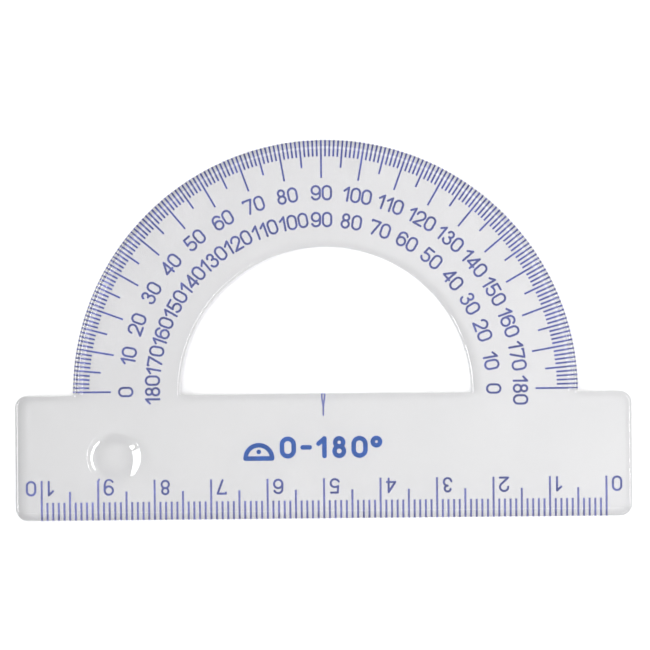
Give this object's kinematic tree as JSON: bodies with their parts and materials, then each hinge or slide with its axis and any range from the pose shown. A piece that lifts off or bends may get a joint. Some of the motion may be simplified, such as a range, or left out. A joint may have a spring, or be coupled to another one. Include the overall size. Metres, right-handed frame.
{
  "type": "protractor",
  "caption": "Flat clear half-ring protractor on a straight ruling bar, with degree and millimetre scales printed on its underside and a finger dimple.",
  "frame": {"origin": "the printed centre point that angles are measured from, on the underside of the plate", "axes": "+X along the bar towards the ruler's zero, +Y through the 90 degree line, +Z out of the upper face"},
  "size_m": [0.1094, 0.0672, 0.0024],
  "materials": {
    "clear_plastic": "clear polystyrene, moulded with polished faces, faintly scratched by handling",
    "scale_ink": "blue-violet printing ink, slightly uneven, seen through the plate",
    "emblem_ink": "stronger blue printing ink, seen through the plate"
  },
  "bodies": {
    "root": {"moulded_plate": "clear_plastic", "degree_lines_1": "scale_ink", "degree_lines_5": "scale_ink", "degree_lines_10": "scale_ink", "outer_degree_figures": "scale_ink", "inner_degree_figures": "scale_ink", "centre_mark": "scale_ink", "millimetre_lines": "scale_ink", "half_centimetre_lines": "scale_ink", "centimetre_lines": "scale_ink", "centimetre_figures": "scale_ink", "printed_emblem": "emblem_ink"}
  },
  "joints": []
}
